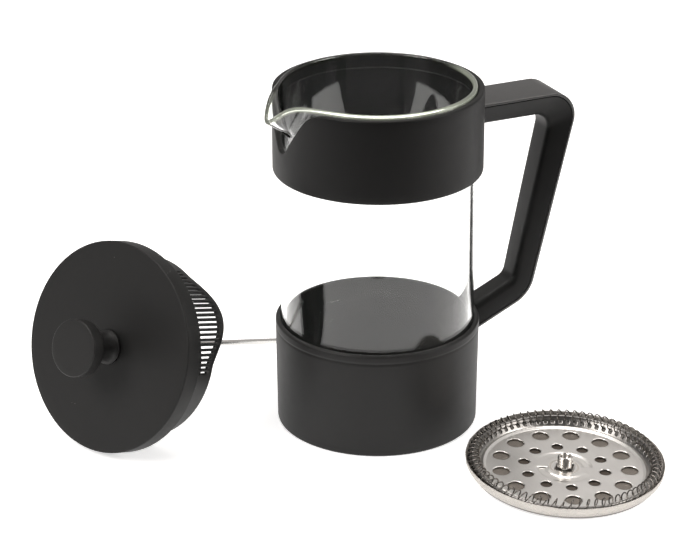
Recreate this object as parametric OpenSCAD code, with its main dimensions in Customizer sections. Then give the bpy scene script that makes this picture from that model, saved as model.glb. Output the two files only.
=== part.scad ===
// Cafetiere (french press) taken apart for cleaning.
// The jug stands with its base centre at the origin: the handle points along +X
// and the spout along -X. The lid with its plunger rod lies beside the jug, and
// the filter stack lies in front of it.

/* [Beaker] */
// Outer diameter of the glass tube
beaker_d = 96.8; // [92:0.1:102]
// Wall of the glass
beaker_wall = 2.3; // [1.8:0.1:3]
// Height of the glass from its foot to its rim
beaker_h = 173.5; // [160:0.5:200]
// Radius of the turn from wall to floor
beaker_foot_r = 9; // [5:0.5:14]
// How far the tip of the spout stands out past the glass
spout_out = 11.6; // [8:0.1:18]
// Drop of the spout tip below the rim
spout_drop = 10; // [4:0.5:12]

/* [Base cup] */
// Wall of the cup at its lip
cup_wall = 2.4; // [2:0.1:5]
// Height of the cup
cup_h = 55; // [45:1:66]
// Taper of the cup wall, measured on the radius
cup_taper = 0.7; // [0:0.1:1.5]
// Thickness of the cup floor
cup_floor = 3; // [2:0.2:4]
// Height of the standing ring under the floor
foot_h = 1.5; // [1:0.1:3]
// Width of the standing ring
foot_w = 5; // [3:0.5:8]
// Gap between the glass and the cup
cup_gap = 0.45; // [0.3:0.05:1]

/* [Upper band] */
// Wall of the band
band_wall = 3.1; // [2.4:0.1:6]
// Height of the band
band_h = 42.2; // [34:0.2:50]
// How far the rim of the glass stands above the band
rim_over = 1.6; // [0.5:0.1:4]
// Gap between the glass and the band
band_gap = 0.5; // [0.3:0.05:1]
// Depth of the inner ledge of the band below its top edge
ledge_depth = 6.5; // [4:0.5:9]
// Depth of the spout notch
notch_depth = 26.1; // [18:0.1:32]
// Half angle of the notch sides from upright
notch_angle = 37.2; // [30:0.1:50]
// Radius at the bottom of the notch
notch_r = 5.5; // [2:0.5:8]
// Radius of the shoulders where the notch runs out into the top edge
notch_shoulder_r = 18; // [6:1:24]

/* [Handle] */
// How far the handle stands out past the band
handle_out = 55; // [46:0.5:68]
// Depth of the top face of the upper arm below the top edge of the band
arm_drop = 13.4; // [10:0.2:22]
// Thickness of the upper arm
arm_t = 12.6; // [9:0.2:14]
// Thickness of the grip
grip_t = 10.8; // [8:0.2:12]
// Thickness of the lower arm
low_t = 12; // [9:0.2:14]
// How far the lower corner of the grip stands out past the cup
knee_out = 32.1; // [27:0.1:41]
// Depth of the lower corner of the grip below the edge of the cup
knee_drop = 1.2; // [-5:0.1:9]
// Depth where the lower arm meets the cup below the edge of the cup
arm_low_drop = 15.6; // [14:0.1:23]
// Width of the outer face at the upper arm
handle_w = 26; // [22:0.5:32]
// Width of the outer face at the lower arm
handle_w_low = 17; // [14:0.2:22]
// Width of the inner face
handle_w_in = 14.2; // [8:0.2:15]
// Radius of the outer bend at the top
bend_r = 13.5; // [12:0.5:18]
// Radius of the outer bend at the knee
knee_r = 17; // [13:0.5:20]
// Thickness of the cover strip along the outer face
strip_t = 1.6; // [1.4:0.1:3]
// Thread diameter of the two handle screws
screw_d = 3; // [2.5:0.5:4]
// Length of the handle screws
screw_l = 10; // [8:1:12]

/* [Lid] */
// How far the lid stands out past the band
lid_over = 0.4; // [0:0.1:3]
// Height of the side wall of the lid
lid_h = 9.5; // [7:0.5:14]
// Thickness of the lid shell
lid_t = 2.4; // [1.8:0.1:3]
// Gap between the strainer skirt and the glass bore
skirt_gap = 0.7; // [0.4:0.1:1.2]
// Wall of the strainer skirt
skirt_t = 1.6; // [1.2:0.1:2.4]
// Length of the skirt below the side wall
skirt_l = 18; // [12:0.5:24]
// Extra length of the strainer tongue
tongue_l = 9.3; // [5:0.1:12]
// Half angle that the tongue covers
tongue_angle = 32; // [28:1:36]
// Number of strainer slots
slots = 23; // [13:2:27]
// Width of a strainer slot
slot_w = 1.15; // [0.8:0.05:1.4]
// Angle between strainer slots
slot_pitch = 3.19; // [2.8:0.01:3.3]

/* [Plunger] */
// Diameter of the rod
rod_d = 3; // [2.5:0.1:5]
// Height of the tip of the rod above the floor of the glass, plunger down
rod_tip_h = 13.1; // [8:0.1:30]
// Depth of the thread on the rod
thread_depth = 0.25; // [0.2:0.05:0.5]
// Running clearance of the rod in its bush, on the radius
rod_gap = 0.05; // [0.02:0.01:0.1]
// Outer diameter of the guide bush
bush_d = 8; // [7:0.5:11]
// Diameter of the knob head
knob_d = 28.3; // [24:0.1:36]
// Height of the knob
knob_h = 25; // [20:0.5:32]
// Thickness of the knob head
knob_head_t = 8.5; // [6:0.5:11]
// Diameter of the knob neck
neck_d = 11.6; // [10:0.2:15]
// Diameter of the flange at the foot of the knob
flange_d = 17.2; // [15:0.2:22]
// Depth of the rod in the knob
rod_grip = 16; // [10:1:18]
// Gap between the rod and the knob insert, on the radius
insert_gap = 0.04; // [0.02:0.01:0.1]
// Outer diameter of the knob insert
insert_d = 6; // [5:0.5:8]

/* [Filter] */
// Gap between the filter plates and the glass bore
filter_gap = 0.8; // [0.5:0.1:3]
// Thickness of the cross plate
cross_t = 0.8; // [0.6:0.1:1.2]
// Width of the arms of the cross
cross_arm_w = 18; // [10:0.5:20]
// Width of the outer ring of the cross plate
cross_ring_w = 9; // [6:0.5:10]
// Height of the foot of the hub below the cross plate
hub_foot_h = 2.3; // [1:0.1:3]
// Diameter of the foot of the hub
hub_foot_d = 9; // [8:0.5:14]
// Diameter of the hub
hub_d = 7.3; // [6.6:0.1:9]
// Height of the hub above the cross plate
hub_h = 7.6; // [6:0.2:14]
// Thickness of the gauze
gauze_t = 0.35; // [0.3:0.05:0.5]
// Height of the turned-up edge of the gauze
gauze_h = 6.2; // [3:0.1:8]
// Thickness of the spring plate
plate_t = 0.5; // [0.4:0.1:0.8]
// Width of the sloping wall of the spring plate
plate_slope_w = 5.5; // [4:0.1:9]
// Height of the rim of the spring plate above its floor
plate_h = 4.1; // [3:0.1:7]
// Height of the bead round the floor of the spring plate
bead_h = 0.7; // [0.4:0.1:1]
// Number of small drain holes
small_holes = 10; // [6:1:12]
// Diameter of the small drain holes
small_hole_d = 5.8; // [4:0.1:8]
// Distance between the two circles of drain holes
hole_ring_gap = 11.8; // [8:0.1:14]
// Number of large drain holes
large_holes = 13; // [8:1:15]
// Diameter of the large drain holes
large_hole_d = 8.4; // [6:0.1:10]
// Distance of the circle of large drain holes from the edge of the floor
large_hole_in = 8; // [7:0.1:12]
// Side of the square hole for the hub
hub_window = 8.4; // [7.6:0.1:10]
// Radius of the turns of the coil spring
coil_r = 3.1; // [2.5:0.1:4]
// Height of the middle of the coil spring above the rim of the plate
coil_rise = 0.9; // [-1:0.1:1.5]
// Gap between the coil spring and the turned-up edge of the gauze
coil_gap = 0.1; // [0.05:0.05:0.5]
// Clearance that the sheet parts keep from each other
sheet_gap = 0.3; // [0.2:0.05:0.5]

/* [Where the pieces lie] */
// Place of the centre of the lid along X
lid_x = -135; // [-170:0.5:-110]
// Place of the centre of the lid along Y
lid_y = 26; // [0:0.5:60]
// Heading of the rod, from knob to tip
lid_heading = 25; // [10:1:35]
// Turn of the strainer tongue about the rod
lid_spin = -56.5; // [-180:0.5:180]
// Bearing of the filter from the jug
filter_bearing = -63.06; // [-180:0.02:180]
// Clear distance between the filter and the cup
filter_apart = 14.4; // [5:0.1:60]
// Direction that the filter leans towards
lean_heading = -75.5; // [-180:0.5:180]
// Turn of the spring plate about the hub
plate_spin = -37.5; // [-180:0.5:180]

/* [Hidden] */
$fn = 96;

black = [0.13, 0.125, 0.12];
steel = [0.75, 0.74, 0.72];

// Beaker
beaker_r = beaker_d / 2;
bore_r = beaker_r - beaker_wall;
rim_r = beaker_wall / 2;
seat_z = foot_h + cup_floor;
rim_z = seat_z + beaker_h;
spout_w = 42;
spout_reach = beaker_r + spout_out;
spout_root_depth = 19;
spout_flare = [4.2, 8, 3.9];
glass_split_z = rim_z - spout_root_depth - 1.5;

// Base cup and band
cup_in_r = beaker_r + cup_gap;
cup_r = cup_in_r + cup_wall;
cup_foot_r = cup_r - cup_taper;
lip_r = 2;
cup_edge_r = 1.2;
band_in_r = beaker_r + band_gap;
band_r = band_in_r + band_wall;
band_edge_r = 1;
band_top = rim_z - rim_over;
band_z = band_top - band_h;
ledge_w = 0.5;
ledge_z = band_top - ledge_depth;

// Handle: its outer face runs along the upper arm, the grip and the lower arm
handle_reach = band_r + handle_out;
arm_z = band_top - arm_drop;
knee_reach = cup_r + knee_out;
knee_z = cup_h - knee_drop;
arm_low_z = cup_h - arm_low_drop;
seam = 0.05;
root_r = 45;
bend_steps = 8;
inner_edge_r = 2.2;
strip_edge_r = 0.9;
strip_lip = 0.4;
bend_at = [handle_reach, arm_z];
knee_at = [knee_reach, knee_z];
low_at = [cup_r, arm_low_z];
arm_dir = [1, 0];
grip_dir = unit(knee_at - bend_at);
low_dir = unit(low_at - knee_at);

// Handle screws: driven from inside the band and the cup
screw_r = screw_d / 2;
head_d = 2 * screw_d - 0.4;
head_h = 1.1;
screw_gap = 0.2;
pilot_gap = 0.02;
head_sink = 0.2;
arm_screw_z = arm_z - arm_t / 2 - 1;
low_screw_z = arm_low_z + 7.5;

// Lid
lid_r = band_r + lid_over;
lid_edge_r = 0.7;
lid_wall_t = 2.2;
skirt_r = bore_r - skirt_gap;
skirt_z = -lid_h - skirt_l;
deck_t = 1.6;
deck_z = -lid_t - deck_t;
slot_drop = 7.3;
slot_arch = 2.4;
slot_border = 3.6;
bush_r = bush_d / 2;
bush_flange_r = bush_r + 2.5;
bush_flange_t = 1.4;
bush_l = 7;
rod_r = rod_d / 2;
rod_l = band_top + lid_h - seat_z - beaker_wall - rod_tip_h;
thread_chamfer = 0.4;

// The lid rests on the tip of the rod, and on the edge of its side wall or, with a short rod,
// on the end of its skirt
lid_dip = max(atan2(lid_r - rod_r, rod_l - lid_h), atan2(skirt_r - rod_r, rod_l + skirt_z));
lid_z = rod_l * sin(lid_dip) + rod_r * cos(lid_dip);

// Knob
knob_r = knob_d / 2;
neck_r = neck_d / 2;
flange_r = flange_d / 2;
insert_r = insert_d / 2;
knob_seat = 0.1;
knob_edge_r = 0.8;
head_z = knob_h - knob_head_t;
flange_t = 1;
insert_z = 1.5;
insert_top = rod_grip + 1;
insert_seam = 0.01;

// Filter
cross_r = bore_r - filter_gap;
hub_r = hub_d / 2;
hub_bore_r = rod_r - thread_depth;
hub_foot_r = hub_foot_d / 2;
spigot_r = hub_bore_r + 1.15;
spigot_gap = 0.02;
cross_hub_r = 12;
gauze_z = hub_foot_h + cross_t;
gauze_floor_r = cross_r + 0.6;
gauze_hole_r = hub_r + sheet_gap;
plate_z = gauze_z + gauze_t;
plate_top = plate_z + plate_t;
plate_r = cross_r;
plate_floor_r = plate_r - plate_slope_w;
large_hole_r = plate_floor_r - large_hole_in;
small_hole_r = large_hole_r - hole_ring_gap;
wall_t = plate_t * 1.2;
coil_centre_r = plate_r - 0.7;
coil_z = plate_top + plate_h + coil_rise;

// The turned-up edge of the gauze leans out until it just clears the coil
gauze_foot = [gauze_floor_r - gauze_t, gauze_z + gauze_t];
coil_from_foot = [coil_centre_r, coil_z] - gauze_foot;
gauze_slope = atan2(coil_from_foot[1], coil_from_foot[0])
    - asin((coil_r + coil_gap) / norm(coil_from_foot));
gauze_r = gauze_floor_r + (gauze_h - gauze_t) / tan(gauze_slope);
filter_away = cup_r + gauze_r + filter_apart;

// The filter leans on the foot of its hub and on the edge of the cross plate
filter_lean = atan2(hub_foot_h, cross_r - hub_foot_r);
filter_z = hub_foot_r * sin(filter_lean);

// Points of an arc about a centre, from one angle to another
function arc(c, r, a0, a1, n = 8) =
    [for (i = [0:n]) let (a = a0 + (a1 - a0) * i / n) c + r * [cos(a), sin(a)]];

// Vector of length one
function unit(v) = v / norm(v);

// Left-hand normal of a direction
function normal(v) = [-v[1], v[0]];

// Value a share u of the way from a to b
function mix(a, b, u) = a + (b - a) * u;

// ------------------------------------------------------------ jug frame

module base_cup() {
    color(black)
        difference() {
            rotate_extrude()
                polygon(concat(
                    [[0, foot_h], [cup_foot_r - foot_w - 1, foot_h], [cup_foot_r - foot_w, 0]],
                    arc([cup_foot_r - cup_edge_r, cup_edge_r], cup_edge_r, -90, 0, 5),
                    arc([cup_r - lip_r, cup_h - lip_r], lip_r, 0, 90, 7),
                    [[cup_in_r, cup_h], [cup_in_r, seat_z], [0, seat_z]]
                ));
            screw_hole(low_screw_z, cup_in_r);
        }
}

module upper_band() {
    color(black)
        difference() {
            rotate_extrude()
                polygon(concat(
                    [[band_in_r, band_z]],
                    arc([band_r - band_edge_r, band_z + band_edge_r], band_edge_r, -90, 0, 5),
                    arc([band_r - band_edge_r, band_top - band_edge_r], band_edge_r, 0, 90, 5),
                    [[band_in_r + ledge_w, band_top], [band_in_r + ledge_w, ledge_z],
                     [band_in_r, ledge_z - ledge_w]]
                ));
            spout_notch();
            screw_hole(arm_screw_z, band_in_r);
        }
}

// V through the wall of the band under the spout, with a round foot and round shoulders
module spout_notch() {
    rise = 90 - notch_angle;
    foot = [0, band_top - notch_depth + notch_r];
    foot_end = foot + notch_r * [cos(notch_angle), -sin(notch_angle)];
    flank_out = (band_top - foot_end[1]) * tan(notch_angle);
    shoulder_x = foot_end[0] + flank_out + notch_shoulder_r * tan(rise / 2);
    shoulder_z = band_top - notch_shoulder_r;
    right = arc([shoulder_x, shoulder_z], notch_shoulder_r, 90 + rise, 90, 10);
    left = arc([-shoulder_x, shoulder_z], notch_shoulder_r, 90, 90 - rise, 10);
    translate([-band_r - 5, 0, 0])
        rotate([90, 0, 90])
            linear_extrude(height = band_r)
                polygon(concat(
                    [[-shoulder_x, band_top + 5]], left,
                    arc(foot, notch_r, 180 + rise, 360 - rise, 10),
                    right, [[shoulder_x, band_top + 5]]
                ));
}

// Clearance hole and sink for a handle screw, from a bore of radius r_in outwards
module screw_hole(z, r_in) {
    translate([r_in - 2, 0, z])
        rotate([0, 90, 0]) {
            cylinder(h = 12, r = screw_r + screw_gap);
            cylinder(h = 2 + head_sink + head_h, d = head_d + 2 * screw_gap);
        }
}

// Pilot hole for a handle screw
module pilot_hole(z, r_in) {
    translate([r_in, 0, z])
        rotate([0, 90, 0])
            cylinder(h = screw_l + head_sink + 1, r = screw_r + pilot_gap);
}

// Centre of an arc of radius r that is tangent to both sides of a corner
function bend_centre(at, n0, n1, r) = at - r * (n0 + n1) / (1 + n0 * n1);

// Stations along the outer face: place, outward normal, thickness and width
function bend_stations(at, d0, d1, r, t0, t1, w0, w1) =
    let (
        n0 = normal(d0),
        n1 = normal(d1),
        c = bend_centre(at, n0, n1, r),
        a0 = atan2(n0[1], n0[0]),
        a1 = atan2(n1[1], n1[0])
    )
    [for (i = [0:bend_steps])
        let (u = i / bend_steps, a = mix(a0, a1, u), n = [cos(a), sin(a)])
        [c + r * n, n, mix(t0, t1, u), mix(w0, w1, u)]];

stations = concat(
    [[[root_r, arm_z], normal(arm_dir), arm_t, handle_w]],
    bend_stations(bend_at, arm_dir, grip_dir, bend_r, arm_t, grip_t, handle_w, handle_w),
    bend_stations(knee_at, grip_dir, low_dir, knee_r, grip_t, low_t,
        handle_w_low, handle_w_low),
    [[low_at + low_dir * (cup_r - root_r) / abs(low_dir[0]), normal(low_dir),
      low_t, handle_w_low]]
);

// Section of the body, as depth below the outer face and side: a trapezium
// that narrows inwards and has two round corners
function body_section(t, w) =
    let (
        half_out = w / 2 - strip_lip,
        half_in = handle_w_in / 2,
        right = arc([t - inner_edge_r, half_in - inner_edge_r], inner_edge_r, 60, 0, 4),
        left = arc([t - inner_edge_r, inner_edge_r - half_in], inner_edge_r, 0, -60, 4)
    )
    concat([[strip_t, -half_out], [strip_t, half_out]], right, left);

// Section of the cover strip: flat, with two round outer edges
function strip_section(t, w) =
    let (e = strip_edge_r, half = w / 2)
    concat(
        [[strip_t, half - strip_lip], [strip_t - strip_lip, half]],
        arc([e, half - e], e, 90, 180, 4),
        arc([e, e - half], e, 180, 270, 4),
        [[strip_t - strip_lip, -half], [strip_t, strip_lip - half]]
    );

// Solid through a list of rings with equal counts of points
module swept(rings) {
    m = len(rings[0]);
    last = len(rings) - 1;
    points = [for (ring = rings) for (q = ring) q];
    sides = [for (i = [0:last - 1]) for (j = [0:m - 1])
        let (k = (j + 1) % m, a = i * m, b = a + m)
        each [[a + j, b + j, b + k], [a + j, b + k, a + k]]];
    start_cap = [[for (j = [0:m - 1]) j]];
    end_cap = [[for (j = [0:m - 1]) last * m + m - 1 - j]];
    polyhedron(points = points, faces = concat(start_cap, sides, end_cap), convexity = 8);
}

function placed(s, section) =
    [for (q = section) let (p = s[0] - s[1] * q[0]) [p[0], q[1], p[1]]];

// What the handle is cut to: the outside of the band and of the cup
module frame_outside() {
    translate([0, 0, band_z - 5])
        cylinder(h = band_h + 10, r = band_r + seam);
    cylinder(h = cup_h, r1 = cup_foot_r + seam, r2 = cup_r + seam);
}

module handle_body() {
    color(black)
        difference() {
            swept([for (s = stations) placed(s, body_section(s[2], s[3]))]);
            frame_outside();
            pilot_hole(arm_screw_z, band_in_r);
            pilot_hole(low_screw_z, cup_in_r);
        }
}

module handle_cover() {
    color(black)
        difference() {
            swept([for (s = stations) placed(s, strip_section(s[2], s[3]))]);
            frame_outside();
        }
}

module handle_screw(z, r_in) {
    translate([r_in + head_sink, 0, z])
        rotate([0, 90, 0]) {
            cylinder(h = head_h, d = head_d);
            cylinder(h = screw_l, r = screw_r);
        }
}

module handle_screws() {
    color(steel) {
        handle_screw(arm_screw_z, band_in_r);
        handle_screw(low_screw_z, cup_in_r);
    }
}

// --------------------------------------------------------------- beaker

// Lower part of the glass, up to where the spout begins
module beaker_tube() {
    rotate_extrude()
        polygon(concat(
            [[0, seat_z]],
            arc([beaker_r - beaker_foot_r, seat_z + beaker_foot_r], beaker_foot_r, -90, 0),
            [[beaker_r, glass_split_z], [bore_r, glass_split_z]],
            arc([beaker_r - beaker_foot_r, seat_z + beaker_foot_r],
                beaker_foot_r - beaker_wall, 0, -90),
            [[0, seat_z + beaker_wall]]
        ));
}

// Upper part of the glass, with its fire-polished rim
module rim_tube() {
    rotate_extrude()
        polygon(concat(
            [[bore_r, glass_split_z], [beaker_r, glass_split_z]],
            arc([beaker_r - rim_r, rim_z - rim_r], rim_r, 0, 180)
        ));
}

// Blunt wedge of the spout. A positive inset makes the hollow inside it. spout_flare is a
// point on its lip: how far the lip lies in from the tip, to the side, and below the rim.
module spout_wedge(inset) {
    ball = beaker_wall - inset;
    side = spout_w / 2 - beaker_wall;
    side_x = -sqrt(pow(beaker_r - beaker_wall, 2) - side * side);
    tip_x = beaker_wall + inset - spout_reach;
    lip_z = rim_z - beaker_wall;
    hull()
        for (up = [0, inset * 6]) {
            for (turn = [-1, 1]) {
                spout_disc([side_x, turn * side, lip_z + up], ball);
                spout_disc([tip_x + spout_flare[0], turn * spout_flare[1],
                            lip_z - spout_flare[2] + up], ball);
            }
            spout_disc([tip_x, 0, lip_z - spout_drop + up], ball);
            spout_disc([beaker_wall + 1 - beaker_r, 0, rim_z - spout_root_depth + 2 * inset], ball);
        }
}

module spout_disc(at, r) {
    translate(at)
        cylinder(h = r, r = r, $fn = 12);
}

module glass_beaker() {
    color([0.85, 0.92, 0.9, 0.35])
        beaker_tube();
}

module glass_rim() {
    color([0.85, 0.92, 0.9, 0.35])
        difference() {
            union() {
                rim_tube();
                difference() {
                    spout_wedge(0);
                    cylinder(h = rim_z + 10, r = beaker_r - beaker_wall / 2);
                }
            }
            spout_wedge(beaker_wall * 0.6);
        }
}

// ------------------------------------------------------------ lid group
// Drawn upright, with the top face of the lid at height zero and the tongue
// along +X, and then laid down.

module lid_place() {
    translate([lid_x, lid_y, lid_z])
        rotate([0, lid_dip - 90, lid_heading])
            rotate([0, 0, lid_spin])
                children();
}

module lid_cover() {
    color(black)
        lid_place()
            rotate_extrude()
                polygon(concat(
                    [[bush_r, 0]],
                    arc([lid_r - lid_edge_r, -lid_edge_r], lid_edge_r, 90, 0, 5),
                    [[lid_r, -lid_h], [lid_r - lid_wall_t, -lid_h],
                     [lid_r - lid_wall_t, -lid_t], [bush_r, -lid_t]]
                ));
}

// Share of the tongue length at an angle from its middle
function tongue_share(a) = pow(max(0, 1 - pow(a / tongue_angle, 2)), 1.75);

module strainer_tube(z) {
    translate([0, 0, z])
        difference() {
            cylinder(h = deck_z + deck_t - z, r = skirt_r);
            translate([0, 0, -1])
                cylinder(h = deck_z - z + 1, r = skirt_r - skirt_t);
        }
}

// Outline of the tongue, as seen along X, pushed through its side of the tube
module tongue_block() {
    steps = 24;
    edge = [for (i = [0:steps])
        let (a = mix(-tongue_angle, tongue_angle, i / steps))
        [skirt_r * sin(a), skirt_z - tongue_l * tongue_share(a)]];
    rotate([90, 0, 90])
        linear_extrude(height = skirt_r + 5)
            polygon(concat(edge, [[edge[steps][0], skirt_z + 1], [edge[0][0], skirt_z + 1]]));
}

module strainer_slots() {
    for (i = [0:slots - 1])
        let (
            a = (i - (slots - 1) / 2) * slot_pitch,
            top = -lid_h - slot_drop - slot_arch * pow(a / 35, 2),
            foot = skirt_z - tongue_l * tongue_share(a) + slot_border
        )
        rotate([0, 0, a])
            translate([skirt_r - skirt_t - 3, -slot_w / 2, foot])
                cube([skirt_t + 6, slot_w, top - foot]);
}

module lid_strainer() {
    color(black)
        lid_place()
            difference() {
                union() {
                    strainer_tube(skirt_z);
                    intersection() {
                        strainer_tube(skirt_z - tongue_l - 1);
                        tongue_block();
                    }
                }
                strainer_slots();
                translate([0, 0, deck_z - 1])
                    cylinder(h = deck_t + 2, r = bush_r);
            }
}

module rod_bush() {
    color(black)
        lid_place()
            rotate_extrude()
                polygon([
                    [rod_r + rod_gap, -insert_seam], [bush_r - insert_seam, -insert_seam],
                    [bush_r - insert_seam, deck_z], [bush_flange_r, deck_z],
                    [bush_flange_r, deck_z - bush_flange_t],
                    [bush_r - 1, deck_z - bush_flange_t], [bush_r - 1, deck_z - bush_l],
                    [rod_r + rod_gap, deck_z - bush_l]
                ]);
}

module plunger_rod() {
    color(steel)
        lid_place()
            translate([0, 0, -rod_l]) {
                cylinder(h = thread_chamfer, r1 = rod_r - thread_chamfer, r2 = rod_r);
                translate([0, 0, thread_chamfer])
                    cylinder(h = rod_l + rod_grip - thread_chamfer, r = rod_r);
            }
}

// Outline of the knob: a disc head, a neck, and a foot that flares like a trumpet
module knob_outline_2d() {
    throat = head_z - 3;
    flare_r = flange_r - neck_r;
    flare_h = throat - flange_t - 4;
    flare = [for (i = [0:8]) let (a = 90 * i / 8)
        [flange_r - flare_r * sin(a), flange_t + flare_h * (1 - cos(a))]];
    polygon(concat(
        [[0, knob_seat], [flange_r, knob_seat]],
        flare,
        [[neck_r, throat], [neck_r + 2, head_z - 0.6], [knob_r - 2.5, head_z]],
        arc([knob_r - 2, head_z + 2], 2, -80, 0, 5),
        arc([knob_r - knob_edge_r, knob_h - knob_edge_r], knob_edge_r, 0, 90, 4),
        [[0, knob_h]]
    ));
}

module knob_shell() {
    color(black)
        lid_place()
            difference() {
                rotate_extrude()
                    knob_outline_2d();
                translate([0, 0, insert_z - insert_seam])
                    cylinder(h = insert_top - insert_z + 2 * insert_seam, r = insert_r + insert_seam);
                translate([0, 0, -1])
                    cylinder(h = insert_z + 2, r = rod_r + 0.5);
            }
}

module knob_insert() {
    color([0.72, 0.6, 0.32])
        lid_place()
            difference() {
                translate([0, 0, insert_z])
                    cylinder(h = insert_top - insert_z, r = insert_r);
                translate([0, 0, insert_z - 1])
                    cylinder(h = insert_top, r = rod_r + insert_gap);
            }
}

// --------------------------------------------------------- filter group
// Drawn upright, with the foot of the hub at height zero, and then leant.

module filter_place() {
    translate([filter_away * cos(filter_bearing), filter_away * sin(filter_bearing), filter_z])
        rotate([0, 0, lean_heading])
            rotate([0, filter_lean, 0])
                rotate([0, 0, plate_spin - lean_heading])
                    children();
}

module filter_hub() {
    color(steel)
        filter_place()
            difference() {
                union() {
                    cylinder(h = hub_foot_h, r = hub_foot_r);
                    cylinder(h = gauze_z + 1, r = spigot_r);
                    translate([0, 0, gauze_z])
                        cylinder(h = hub_h - 0.6, r = hub_r);
                    translate([0, 0, gauze_z + hub_h - 0.6])
                        cylinder(h = 0.6, r1 = hub_r, r2 = hub_r - 0.6);
                }
                translate([0, 0, 1])
                    cylinder(h = gauze_z + hub_h, r = hub_bore_r);
                translate([0, 0, gauze_z + hub_h - 0.8])
                    cylinder(h = 0.81, r1 = hub_bore_r, r2 = hub_bore_r + 0.81);
            }
}

module cross_plate() {
    color(steel)
        filter_place()
            translate([0, 0, hub_foot_h])
                difference() {
                    union() {
                        difference() {
                            cylinder(h = cross_t, r = cross_r);
                            translate([0, 0, -1])
                                cylinder(h = cross_t + 2, r = cross_r - cross_ring_w);
                        }
                        for (a = [0, 90])
                            rotate([0, 0, a])
                                translate([1 - cross_r, -cross_arm_w / 2, 0])
                                    cube([2 * cross_r - 2, cross_arm_w, cross_t]);
                        cylinder(h = cross_t, r = cross_hub_r);
                    }
                    translate([0, 0, -1])
                        cylinder(h = cross_t + 2, r = spigot_r + spigot_gap);
                }
}

module filter_gauze() {
    color([0.55, 0.54, 0.52])
        filter_place()
            translate([0, 0, gauze_z])
                rotate_extrude()
                    polygon([
                        [gauze_hole_r, 0], [gauze_floor_r, 0], [gauze_r, gauze_h],
                        [gauze_r - gauze_t, gauze_h], [gauze_floor_r - gauze_t, gauze_t],
                        [gauze_hole_r, gauze_t]
                    ]);
}

// Sloping wall of the spring plate, made fatter by m all round
module plate_wall_2d(m = 0) {
    foot = plate_floor_r + 1;
    polygon([
        [foot - m, plate_z], [foot + wall_t + m, plate_z],
        [plate_r + m, plate_top + plate_h + m], [plate_r - wall_t - m, plate_top + plate_h + m]
    ]);
}

module plate_floor_2d() {
    polygon([
        [0, plate_z], [plate_floor_r + 1 + wall_t / 2, plate_z],
        [plate_floor_r + 1 + wall_t / 2, plate_top], [plate_floor_r + 0.6, plate_top + bead_h / 2],
        [plate_floor_r, plate_top + bead_h], [plate_floor_r - 1, plate_top], [0, plate_top]
    ]);
}

module drain_holes(count, r, d) {
    for (i = [0:count - 1])
        rotate([0, 0, 360 * i / count])
            translate([r, 0, plate_z - 1])
                cylinder(h = plate_t + 2, d = d, $fn = 48);
}

module spring_plate() {
    color(steel)
        filter_place()
            difference() {
                rotate_extrude() {
                    plate_floor_2d();
                    plate_wall_2d();
                }
                drain_holes(small_holes, small_hole_r, small_hole_d);
                rotate([0, 0, 9])
                    drain_holes(large_holes, large_hole_r, large_hole_d);
                translate([-hub_window / 2, -hub_window / 2, plate_z - 1])
                    cube([hub_window, hub_window, plate_t + 2]);
            }
}

// The coil spring fills a ring round the rim of the plate
module coil_spring() {
    color(steel)
        filter_place()
            rotate_extrude()
                difference() {
                    translate([coil_centre_r, coil_z])
                        circle(r = coil_r, $fn = 32);
                    plate_wall_2d(sheet_gap);
                }
}

base_cup();
upper_band();
handle_body();
handle_cover();
handle_screws();
glass_beaker();
glass_rim();
lid_cover();
lid_strainer();
rod_bush();
plunger_rod();
knob_shell();
knob_insert();
filter_hub();
cross_plate();
filter_gauze();
spring_plate();
coil_spring();
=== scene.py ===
"""A cafetiere (french press) taken apart for cleaning: its looks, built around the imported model.

Sizes are in millimetres, as in the part's source, and become metres when a mesh is made.
The jug stands at the origin with its handle along +X and its spout along -X.
"""

import math

import bmesh
import bpy
import numpy as np
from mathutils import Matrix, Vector


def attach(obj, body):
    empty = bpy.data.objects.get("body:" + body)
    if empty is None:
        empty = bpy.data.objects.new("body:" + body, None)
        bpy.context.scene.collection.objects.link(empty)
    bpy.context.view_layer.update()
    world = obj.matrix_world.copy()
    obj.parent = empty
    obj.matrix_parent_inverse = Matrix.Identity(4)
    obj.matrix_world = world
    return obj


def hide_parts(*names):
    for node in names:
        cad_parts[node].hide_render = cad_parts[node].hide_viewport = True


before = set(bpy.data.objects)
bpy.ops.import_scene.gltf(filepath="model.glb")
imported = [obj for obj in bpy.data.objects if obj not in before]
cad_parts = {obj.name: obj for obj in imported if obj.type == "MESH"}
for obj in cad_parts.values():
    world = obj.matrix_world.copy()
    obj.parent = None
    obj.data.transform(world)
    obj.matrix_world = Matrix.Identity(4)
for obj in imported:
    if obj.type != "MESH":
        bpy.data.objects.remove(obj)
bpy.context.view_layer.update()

MM = 0.001
TURN = 2 * math.pi

# Beaker
BEAKER_R, BEAKER_WALL, SEAT_Z, RIM_Z, BEAKER_FOOT_R = 48.4, 2.3, 4.5, 178.0, 9.0
SPOUT_OUT, SPOUT_DROP, SPOUT_ROOT, SPOUT_WIDE, LIP_WIDE = 11.8, 10.0, 19.0, 15.4, 8.85

# Base cup and upper band
CUP_R, CUP_TAPER, CUP_H, CUP_IN_R, CUP_LIP_R = 51.25, 0.7, 55.0, 48.85, 2.0
FOOT_H, FOOT_W = 1.5, 5.0
BAND_R, BAND_IN_R, BAND_Z, BAND_TOP, BAND_EDGE_R = 52.0, 48.9, 134.2, 176.4, 1.0
LEDGE_DEPTH, LEDGE_W = 6.5, 0.5
NOTCH_DEPTH, NOTCH_ANGLE, NOTCH_R, NOTCH_SHOULDER_R = 26.1, 37.2, 5.5, 18.0

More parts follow.
